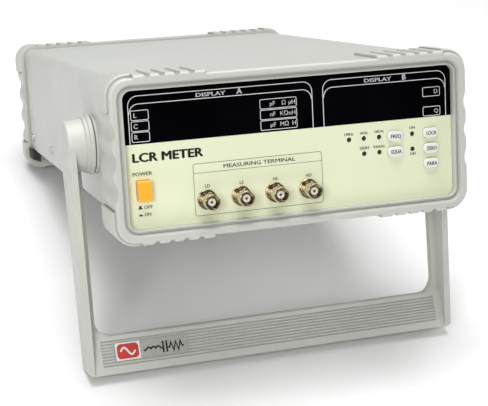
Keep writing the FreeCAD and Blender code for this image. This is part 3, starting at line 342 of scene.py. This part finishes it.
MATERIALS = {
    # The bezel and the handle carry painted shade in their grooves and corners (the last
    # argument).
    "bezel": moulded("bezel_plastic", BEZEL_GREY, 0.40, 0.22, 1700.0, 0.03, painted_hollow_shade=0.6),
    "handle": moulded("handle_plastic", BEZEL_GREY, 0.44, 0.3, 1500.0, 0.035, painted_hollow_shade=0.88),
    "case": baked_paint("case_enamel", CASE_GREY, 0.42),
    "panel": overlay_film("panel_film", PANEL_CREAM),
    "window": smoked_window("window_filter"),
    "key": moulded("key_plastic", (0.82, 0.83, 0.76), 0.34, 0.12, 2600.0, 0.02, coat=0.2),
    "amber": moulded("button_plastic", (0.96, 0.46, 0.03), 0.36, 0.15, 2400.0, 0.03, coat=0.2),
    "black": moulded("black_plastic", (0.018, 0.018, 0.019), 0.5, 0.35, 1500.0, 0.15),
    "lamp": moulded("lamp_epoxy", (0.010, 0.004, 0.003), 0.5, 0.05, 900.0, 0.1),
    "nickel": metal("nickel_plate", (0.60, 0.52, 0.36), 0.13, (900.0, 60.0, 900.0), 0.06),
    "gold": metal("gold_plate", (0.80, 0.55, 0.22), 0.25, (900.0, 60.0, 900.0), 0.05),
    "zinc": metal("zinc_plate", (0.60, 0.60, 0.58), 0.36),
    "aluminium": metal("extruded_aluminium", (0.72, 0.72, 0.71), 0.34, (900.0, 900.0, 30.0), 0.2),
    "teflon": moulded("white_dielectric", (0.86, 0.84, 0.74), 0.42, 0.08, 1800.0, 0.02),
    "board": circuit_board("board_mask"),
    "rubber": rubber("foot_rubber"),
    "chip": moulded("chip_resin", (0.022, 0.022, 0.024), 0.55, 0.4, 2600.0, 0.1),
    "sleeve": banded("capacitor_sleeve", (0.02, 0.05, 0.2), (0.012, 0.02, 0.09), 30.0, "Z",
                     0.32, 0.1),
    "relay": moulded("relay_case", (0.62, 0.55, 0.36), 0.35, 0.15, 2000.0, 0.05),
    "core": banded("core_laminations", (0.12, 0.105, 0.09), (0.05, 0.04, 0.035), 480.0, "Y",
                   0.45, 0.5, 0.6),
    "tape": banded("coil_tape", (0.74, 0.52, 0.08), (0.5, 0.32, 0.04), 60.0, "Z", 0.3, 0.4),
    "glass": clear_glass("fuse_glass"),
    "foil": speckled_foil("label_foil", (0.50, 0.51, 0.47)),
}

FINISH_OF = {
    "bezel": ("front_bezel", "rear_bezel"),
    "handle": ("handle", "hub_discs"),
    "case": ("top_cover", "bottom_cover"),
    "panel": ("front_panel",),
    "window": ("display_window",),
    "key": ("key_freq", "key_equa", "key_lock", "key_zero", "key_para"),
    "amber": ("power_button",),
    "black": ("key_switches", "power_push_rod", "power_switch", "power_inlet", "fuse_drawer",
              "digit_display_a", "digit_display_b"),
    "lamp": ("indicator_leds",),
    "nickel": ("bnc_shell_ld", "bnc_shell_ls", "bnc_shell_hs", "bnc_shell_hd", "bnc_nuts",
               "inlet_pins", "board_standoffs"),
    "gold": ("bnc_contacts",),
    "zinc": ("panel_backplate", "switch_bracket", "pivot_bolts", "pivot_plates", "pivot_springs",
             "rear_panel", "rear_panel_screws", "cover_screws", "board_screws", "foot_screws",
             "transformer_rails"),
    "aluminium": ("heatsink",),
    "teflon": ("bnc_insulators",),
    "board": ("display_board", "main_board"),
    "rubber": ("bottom_feet", "corner_bumpers"),
    "chip": ("integrated_circuits", "voltage_regulators"),
    "sleeve": ("capacitors",),
    "relay": ("range_relays",),
    "core": ("transformer_core",),
    "tape": ("transformer_coil",),
    "glass": ("fuse",),
    "foil": ("handle_label_plate",),
}


def finish_cad_nodes():
    for finish, names in FINISH_OF.items():
        for name in names:
            node = frame["nodes"][name]
            node.data.materials.clear()
            node.data.materials.append(MATERIALS[finish])


# ---------------------------------------------------------------- printed marks
FONT_WELD = 0.0005          # points of a letter this close are joined, at font size 1
FONT_CURVE_STEPS = 3

# Height of the capitals and boldness of each lettering style, millimetres.
STYLES = {
    "title": (5.1, 0.42),
    "heading": (2.3, 0.07),
    "power": (2.1, 0.07),
    "power_state": (1.9, 0.06),
    "lamp": (1.65, 0.06),
    "terminal": (1.9, 0.05),
    "key": (2.3, 0.08),
    "display_word": (2.2, 0.13),
    "display_letter": (3.2, 0.2),
    "quantity": (2.7, 0.07),
    "unit": (2.6, 0.04),
}


def arc_points(cx, cz, radius, start, end, steps=8):
    points = []
    for step in range(steps + 1):
        angle = math.radians(start + (end - start) * step / steps)
        points.append((cx + radius * math.cos(angle), cz + radius * math.sin(angle)))
    return points


def round_rectangle(x0, x1, z0, z1, radius):
    points = []
    for cx, cz, start in ((x1 - radius, z1 - radius, 0), (x0 + radius, z1 - radius, 90),
                          (x0 + radius, z0 + radius, 180), (x1 - radius, z0 + radius, 270)):
        points += arc_points(cx, cz, radius, start, start + 90, 6)
    return points


class Print:
    """Marks of one ink on one face, gathered into one thin mesh in a face's (x, z) plane."""

    def __init__(self, name, body, material, face_y, matrix):
        self.name = name
        self.body = body
        self.material = material
        self.front = face_y - INK_LIFT - INK_T
        self.back = face_y - INK_LIFT
        self.matrix = matrix
        self.mesh = bmesh.new()

    def prism(self, points):
        """A closed outline, extruded through the ink's thickness."""
        front = [self.mesh.verts.new((x, self.front, z)) for x, z in points]
        back = [self.mesh.verts.new((x, self.back, z)) for x, z in points]
        self.mesh.faces.new(front)
        self.mesh.faces.new(list(reversed(back)))
        count = len(points)
        for index in range(count):
            after = (index + 1) % count
            self.mesh.faces.new((front[after], front[index], back[index], back[after]))

    def line(self, points, width, closed=False):
        """A ribbon of constant width along a run of points, with mitred joints."""
        count = len(points)
        sides = []
        for index, (x, z) in enumerate(points):
            before = points[index - 1] if index or closed else None
            after = points[(index + 1) % count] if index < count - 1 or closed else None
            directions = []
            if before:
                directions.append(Vector((x - before[0], z - before[1])).normalized())
            if after:
                directions.append(Vector((after[0] - x, after[1] - z)).normalized())
            middle = sum(directions, Vector((0.0, 0.0))).normalized()
            normal = Vector((-middle.y, middle.x))
            reach = width / 2 / max(SHORTEST_MITRE, middle.dot(directions[0]))
            sides.append((Vector((x, z)) + normal * reach, Vector((x, z)) - normal * reach))
        rings = []
        for left, right in sides:
            rings.append([self.mesh.verts.new((left.x, self.front, left.y)),
                          self.mesh.verts.new((right.x, self.front, right.y)),
                          self.mesh.verts.new((right.x, self.back, right.y)),
                          self.mesh.verts.new((left.x, self.back, left.y))])
        spans = count if closed else count - 1
        for index in range(spans):
            here = rings[index]
            there = rings[(index + 1) % count]
            for corner in range(4):
                nxt = (corner + 1) % 4
                self.mesh.faces.new((here[corner], here[nxt], there[nxt], there[corner]))
        if not closed:
            self.mesh.faces.new(list(reversed(rings[0])))
            self.mesh.faces.new(rings[-1])

    def words(self, text, x, base, style, width=None, align="CENTER"):
        """Lettering in one of STYLES, standing on `base` and fitted to `width` if one is given.

        The strokes are thickened by overlapping copies of the letters: the style's boldness
        to either side, and half as far above and below.
        """
        height, bold = STYLES[style]
        data = bpy.data.curves.new("lettering", "FONT")
        data.body = text
        data.font = SANS
        data.size = 1.0
        data.extrude = 0.5
        data.resolution_u = FONT_CURVE_STEPS
        holder = bpy.data.objects.new("lettering", data)
        flat = bpy.data.meshes.new_from_object(holder)
        letters = bmesh.new()
        letters.from_mesh(flat)
        bmesh.ops.remove_doubles(letters, verts=letters.verts, dist=FONT_WELD)
        low = min(vertex.co.x for vertex in letters.verts)
        high = max(vertex.co.x for vertex in letters.verts)
        scale_z = height / CAPITAL_HEIGHT
        scale_x = width / (high - low) if width else scale_z
        start = {"CENTER": x - (high - low) * scale_x / 2, "LEFT": x,
                 "RIGHT": x - (high - low) * scale_x}[align]
        for shift_x, shift_z in ((0.0, 0.0), (bold, 0.0), (-bold, 0.0), (0.0, bold / 2),
                                 (0.0, -bold / 2)):
            copies = {}
            for vertex in letters.verts:
                y = self.front if vertex.co.z > 0 else self.back
                place = (start + (vertex.co.x - low) * scale_x + shift_x, y,
                         base + vertex.co.y * scale_z + shift_z)
                copies[vertex] = self.mesh.verts.new(place)
            for face in letters.faces:
                self.mesh.faces.new([copies[vertex] for vertex in face.verts])
        letters.free()
        bpy.data.objects.remove(holder)
        bpy.data.curves.remove(data)
        bpy.data.meshes.remove(flat)

    def finish(self):
        """Makes the gathered marks into one piece that rides on the face's body."""
        bmesh.ops.recalc_face_normals(self.mesh, faces=self.mesh.faces)
        data = bpy.data.meshes.new(self.name)
        self.mesh.to_mesh(data)
        self.mesh.free()
        data.transform(self.matrix)
        data.materials.append(self.material)
        piece = bpy.data.objects.new(self.name, data)
        bpy.context.scene.collection.objects.link(piece)
        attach(piece, self.body)


def capital_height():
    """Height of a capital H in the font at size 1."""
    data = bpy.data.curves.new("measure", "FONT")
    data.body = "H"
    data.font = SANS
    holder = bpy.data.objects.new("measure", data)
    flat = bpy.data.meshes.new_from_object(holder)
    height = max(vertex.co.y for vertex in flat.vertices)
    bpy.data.objects.remove(holder)
    bpy.data.curves.remove(data)
    bpy.data.meshes.remove(flat)
    return height


CAPITAL_HEIGHT = capital_height()
INK_ROUGHNESS = 0.5
BLACK_INK = ink("black_ink", (0.012, 0.012, 0.012), INK_ROUGHNESS)
WHITE_INK = ink("white_ink", (0.88, 0.89, 0.88), INK_ROUGHNESS)
RED_INK = ink("red_ink", (0.55, 0.045, 0.035), INK_ROUGHNESS)
SOFT_WHITE_INK = ink("pale_ink", (0.80, 0.80, 0.77), INK_ROUGHNESS)

# Window artwork, millimetres in the instrument's axes.
WINDOW_BOTTOM = 9.4
DISPLAYS = {
    "A": {"left": -103.2, "right": 13.3, "words": (-61.0, -42.5), "letter": -33.6},
    "B": {"left": 20.5, "right": 104.0, "words": (48.5, 66.8), "letter": 75.6},
}
ARCH_TOP = 38.4
ARCH_INNER_TOP = 33.6
ARCH_RADIUS = 6.0
ARCH_FOOT = 0.2             # the arches start this far above the window's lower edge
LINE_W = 0.42
WORD_BASE = 34.8
LETTER_BASE = 34.6

ROWS = ((23.9, 29.7), (17.3, 23.1), (10.8, 16.6))            # bottom and top of each row
QUANTITY_BOX = (-101.8, -91.0)                               # left and right
QUANTITY_X = -99.2
UNIT_BOX = (-20.8, 2.8)
UNIT_COLUMNS = ((-14.4, "LEFT"), (-5.4, "CENTER"), (2.0, "RIGHT"))
UNITS = (("pF", "Ω", "μH"), ("nF", "KΩ", "mH"), ("μF", "MΩ", "H"))
LOSS_BOX = (88.2, 100.0)
LOSS_X = 97.3
LOSS_ROWS = ((22.6, 28.3, "D"), (10.2, 15.9, "Q"))
BOX_RADIUS = 0.8
BOX_LINE_W = 0.34
LETTER_RISE = 1.6           # a letter's base line above its box's lower edge
UNIT_RISE = 1.7


def arch(left, right, bottom, top, radius):
    """Open outline: up the left side, over two round corners and down the right side."""
    points = [(left, bottom)]
    points += arc_points(left + radius, top - radius, radius, 180, 90)
    points += arc_points(right - radius, top - radius, radius, 90, 0)
    points.append((right, bottom))
    return points


def print_window():
    """Two arches with their headings, and the boxes and letters of the two displays."""
    art = Print("window_lettering", "instrument", WHITE_INK, 0.0, TO_ROW)

    def box(edges, low, high):
        art.line(round_rectangle(*edges, low, high, BOX_RADIUS), BOX_LINE_W, closed=True)

    for letter, place in DISPLAYS.items():
        art.line(arch(place["left"], place["right"], WINDOW_BOTTOM + ARCH_FOOT, ARCH_TOP,
                      ARCH_RADIUS), LINE_W)
        inner = arch(place["left"] + LINE_W, place["right"] - LINE_W, ARCH_INNER_TOP - ARCH_RADIUS,
                     ARCH_INNER_TOP, ARCH_RADIUS)
        art.line(inner[1:-1], LINE_W)
        start, end = place["words"]
        art.words("DISPLAY", (start + end) / 2, WORD_BASE, "display_word", end - start)
        art.words(letter, place["letter"], LETTER_BASE, "display_letter")
    for (low, high), letter in zip(ROWS, "LCR"):
        box(QUANTITY_BOX, low, high)
        art.words(letter, QUANTITY_X, low + LETTER_RISE, "quantity")
        box(UNIT_BOX, low, high)
    for (low, _), names in zip(ROWS, UNITS):
        for name, (x, align) in zip(names, UNIT_COLUMNS):
            art.words(name, x, low + UNIT_RISE, "unit", align=align)
    for low, high, letter in LOSS_ROWS:
        box(LOSS_BOX, low, high)
        art.words(letter, LOSS_X, low + LETTER_RISE, "unit")
    art.finish()


# Panel artwork, millimetres in the instrument's axes.
LAMP_COLUMNS = {"100Hz": 36.9, "1KHz": 47.0, "10KHz": 57.4}
LAMP_TOP_ROW = 2.3          # base lines of the words beside the lamps
LAMP_LOW_ROW = -7.3
KEY_LAMP_X = 80.2
KEY_LAMP_ROWS = (2.7, -14.0)
TERMINALS = {"LD": -57.0, "LS": -35.1, "HS": -13.2, "HD": 9.0}
TERMINAL_BASE = -20.9
TERMINAL_FRAME = (-65.4, 18.0, -38.0, -5.8)                  # left, right, bottom, top
TERMINAL_RULE_Z = -11.6
POWER_STATE_X = -97.2
MARK_COLLAR = (-100.9, -98.3)                                # left and right
MARK_BUTTON = (-100.3, -98.9)


def button_mark(base, shoulder, top):
    """Outline of a button standing out of its collar."""
    (left, right), (button_left, button_right) = MARK_COLLAR, MARK_BUTTON
    return [(left, base), (right, base), (right, shoulder), (button_right, shoulder),
            (button_right, top), (button_left, top), (button_left, shoulder), (left, shoulder)]


def print_panel():
    """The title, the power marks, the terminals' frame and the words beside the lamps."""
    art = Print("panel_lettering", "instrument", BLACK_INK, 0.0, TO_ROW)
    art.words("LCR METER", -80.5, -1.3, "title", 43.4)
    art.words("POWER", -97.0, -9.6, "power", 12.0)
    art.words("OFF", POWER_STATE_X, -30.0, "power_state", 5.2, "LEFT")
    art.words("ON", POWER_STATE_X, -34.4, "power_state", 4.0, "LEFT")
    art.prism(button_mark(-30.0, -29.3, -27.9))
    art.prism(button_mark(-34.3, -33.7, -33.1))
    art.words("MEASURING TERMINAL", -22.8, -9.9, "heading", 46.5)
    for words, x in LAMP_COLUMNS.items():
        art.words(words, x, LAMP_TOP_ROW, "lamp")
    art.words("SERI", LAMP_COLUMNS["1KHz"], LAMP_LOW_ROW, "lamp", 6.2)
    art.words("PARAL", LAMP_COLUMNS["10KHz"], LAMP_LOW_ROW, "lamp", 8.0)
    for base in KEY_LAMP_ROWS:
        art.words("ON", KEY_LAMP_X, base, "lamp", 3.8)
    for words, x in TERMINALS.items():
        art.words(words, x, TERMINAL_BASE, "terminal")
    left, right, low, high = TERMINAL_FRAME
    art.line(round_rectangle(left, right, low, high, 1.6), 0.28, closed=True)
    art.line([(left, TERMINAL_RULE_Z), (right, TERMINAL_RULE_Z)], 0.24)
    art.finish()


KEY_FACE_Y = -2.5
KEY_WORDS = {"key_freq": "FREQ", "key_equa": "EQUA", "key_lock": "LOCK", "key_zero": "ZERO",
             "key_para": "PARA"}
KEY_BASE = {"key_freq": -1.75, "key_equa": -11.65, "key_lock": -1.75, "key_zero": -11.65,
            "key_para": -21.45}
KEY_WORD_W = 6.9


def print_keys():
    """One word on each key, riding with the key."""
    from_row = TO_ROW.inverted()
    for name, words in KEY_WORDS.items():
        low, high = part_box(name)
        middle = from_row @ ((low + high) / 2)
        art = Print(name + "_lettering", name, BLACK_INK, KEY_FACE_Y, TO_ROW)
        art.words(words, middle.x, KEY_BASE[name], "key", KEY_WORD_W)
        art.finish()


# Handle label, millimetres in the crossbar's own face.
LABEL_LEFT = -110.5
LABEL_HALF_H = 6.1          # along the crossbar's sloping face
CROSSBAR_TOP_Z = -126.3     # in the handle's own upright plane, from its pivot
CROSSBAR_TOP_Y = -4.2
CROSSBAR_SLOPE = 6.45 / 24.2
LABEL_MIDDLE_Z = -136.9
LABEL_PROUD = 0.25
LABEL_TO_ROW = (HANDLE_TO_ROW
                @ Matrix.Translation((0.0, CROSSBAR_TOP_Y - LABEL_PROUD
                                      + (LABEL_MIDDLE_Z - CROSSBAR_TOP_Z) * CROSSBAR_SLOPE,
                                      LABEL_MIDDLE_Z))
                @ Matrix.Rotation(-math.atan(CROSSBAR_SLOPE), 4, "X"))


LABEL_MARGIN = 0.3
BORDER = (0.3, 16.8)        # left and right, from the label's left end
BORDER_RADIUS = 0.5
BLOCK = (1.3, 15.8)
BLOCK_INSET = 0.9           # above and below, inside the border
BLOCK_RADIUS = 2.6
WAVE_START = 3.6
WAVE_LENGTH = 9.9
WAVE_HEIGHT = 2.4
WAVE_STEPS = 32
THICK_W = 1.2
WIRE_W = 1.1
ZIGZAG_W = 1.0
SYMBOLS_START = 19.0
WIRE_Z = -1.2
LEAD = 2.0
LOOP_R = 1.6
LOOPS = 3
PLATE_LEAD = 1.8
PLATE_GAP = 2.4
PLATE_ENDS = (-4.2, 3.4)
PEAKS = 5
PEAK_Z = (2.0, -3.6)
PEAK_STEP = 1.6
PEAK_RISE = 1.0             # along the wire, from its end to the first peak
END_LEAD = 1.4


def print_block():
    """A pale border, a red block and a pale sine wave."""
    top = LABEL_HALF_H - LABEL_MARGIN
    border = Print("label_border", "carry_handle", SOFT_WHITE_INK, 0.0, LABEL_TO_ROW)
    border.prism(round_rectangle(LABEL_LEFT + BORDER[0], LABEL_LEFT + BORDER[1], -top, top,
                                 BORDER_RADIUS))
    border.finish()
    block = Print("label_block", "carry_handle", RED_INK, -INK_T, LABEL_TO_ROW)
    block.prism(round_rectangle(LABEL_LEFT + BLOCK[0], LABEL_LEFT + BLOCK[1], -top + BLOCK_INSET,
                                top - BLOCK_INSET, BLOCK_RADIUS))
    block.finish()
    pale = Print("label_wave", "carry_handle", SOFT_WHITE_INK, -2 * INK_T, LABEL_TO_ROW)
    wave = []
    for step in range(WAVE_STEPS + 1):
        share = step / WAVE_STEPS
        wave.append((LABEL_LEFT + WAVE_START + WAVE_LENGTH * share,
                     WAVE_HEIGHT * math.sin(2 * math.pi * share)))
    pale.line(wave, THICK_W)
    pale.finish()


def print_symbols():
    """An inductor, a capacitor and a resistor in outline, joined by a wire."""
    art = Print("label_symbols", "carry_handle", BLACK_INK, 0.0, LABEL_TO_ROW)
    start = LABEL_LEFT + SYMBOLS_START
    art.line([(start, WIRE_Z), (start + LEAD, WIRE_Z)], WIRE_W)
    for index in range(LOOPS):
        centre = start + LEAD + LOOP_R + index * 2 * LOOP_R
        art.line(arc_points(centre, WIRE_Z, LOOP_R, 180, 0, 10), WIRE_W)
    loops_end = start + LEAD + LOOPS * 2 * LOOP_R
    first_plate = loops_end + PLATE_LEAD
    second_plate = first_plate + PLATE_GAP
    art.line([(loops_end, WIRE_Z), (first_plate, WIRE_Z)], WIRE_W)
    for x in (first_plate, second_plate):
        art.line([(x, PLATE_ENDS[0]), (x, PLATE_ENDS[1])], THICK_W)
    zigzag_start = second_plate + LEAD
    zigzag = [(second_plate, WIRE_Z), (zigzag_start, WIRE_Z)]
    for index in range(PEAKS):
        zigzag.append((zigzag_start + PEAK_RISE + index * PEAK_STEP, PEAK_Z[index % 2]))
    zigzag_end = zigzag_start + 2 * PEAK_RISE + (PEAKS - 1) * PEAK_STEP
    zigzag += [(zigzag_end, WIRE_Z), (zigzag_end + END_LEAD, WIRE_Z)]
    art.line(zigzag, ZIGZAG_W)
    art.finish()


# ---------------------------------------------------------------- studio
FLOOR_REACH = 9.0
FLOOR_SQUARES = 8
WORLD_COLOUR = (0.98, 0.99, 1.0, 1.0)
WORLD_STRENGTH = 0.11

# Name, place, what it points at, width, height and power: metres and watts.
LIGHTS = (
    ("softbox_above", (-0.1, 0.1, 1.75), (0.0, 0.0, 0.1), 1.5, 1.2, 34.0),
    ("softbox_left", (-0.62, -1.0, 0.66), (0.0, -0.05, 0.12), 0.36, 0.36, 5.2),
    ("softbox_front", (-0.9, -1.9, 0.6), (0.0, -0.1, 0.12), 0.9, 0.7, 2.4),
    ("softbox_right", (1.7, -0.45, 1.0), (0.1, -0.1, 0.05), 0.9, 0.9, 9.0),
)


def studio_material():
    shader = Shader("studio_paper")
    mottle = shader.noise(1.5, 2.0)
    body = shader.mix(mottle, (0.93, 0.93, 0.93), (0.955, 0.955, 0.955))
    shader.set(Base_Color=body, Roughness=0.85, Specular_IOR_Level=0.1)
    return shader.material


def make_floor():
    mesh = bmesh.new()
    bmesh.ops.create_grid(mesh, x_segments=FLOOR_SQUARES, y_segments=FLOOR_SQUARES,
                          size=FLOOR_REACH)
    data = bpy.data.meshes.new("studio_floor")
    mesh.to_mesh(data)
    mesh.free()
    data.materials.append(studio_material())
    floor = bpy.data.objects.new("studio_floor", data)
    bpy.context.scene.collection.objects.link(floor)


def area_light(name, place, target, width, height, power):
    data = bpy.data.lights.new(name, "AREA")
    data.shape = "RECTANGLE"
    data.size = width
    data.size_y = height
    data.energy = power
    light = bpy.data.objects.new(name, data)
    light.location = place
    light.rotation_euler = (Vector(target) - Vector(place)).to_track_quat("-Z", "Y").to_euler()
    bpy.context.scene.collection.objects.link(light)


def make_light():
    for light in LIGHTS:
        area_light(*light)
    world = bpy.data.worlds.new("studio")
    world.use_nodes = True
    background = world.node_tree.nodes["Background"]
    background.inputs["Color"].default_value = WORLD_COLOUR
    background.inputs["Strength"].default_value = WORLD_STRENGTH
    bpy.context.scene.world = world


def make_camera():
    data = bpy.data.cameras.new("camera")
    data.lens = CAMERA_LENS
    data.sensor_width = CAMERA_SENSOR
    data.shift_x = CAMERA_SHIFT_X
    data.dof.use_dof = False
    camera = bpy.data.objects.new("camera", data)
    camera.location = CAMERA_PLACE
    camera.rotation_euler = [math.radians(angle) for angle in CAMERA_TURN]
    bpy.context.scene.collection.objects.link(camera)
    bpy.context.scene.camera = camera
    bpy.context.scene.view_settings.view_transform = "Standard"


finish_cad_nodes()
print_window()
print_panel()
print_keys()
print_block()
print_symbols()
make_floor()
make_light()
make_camera()
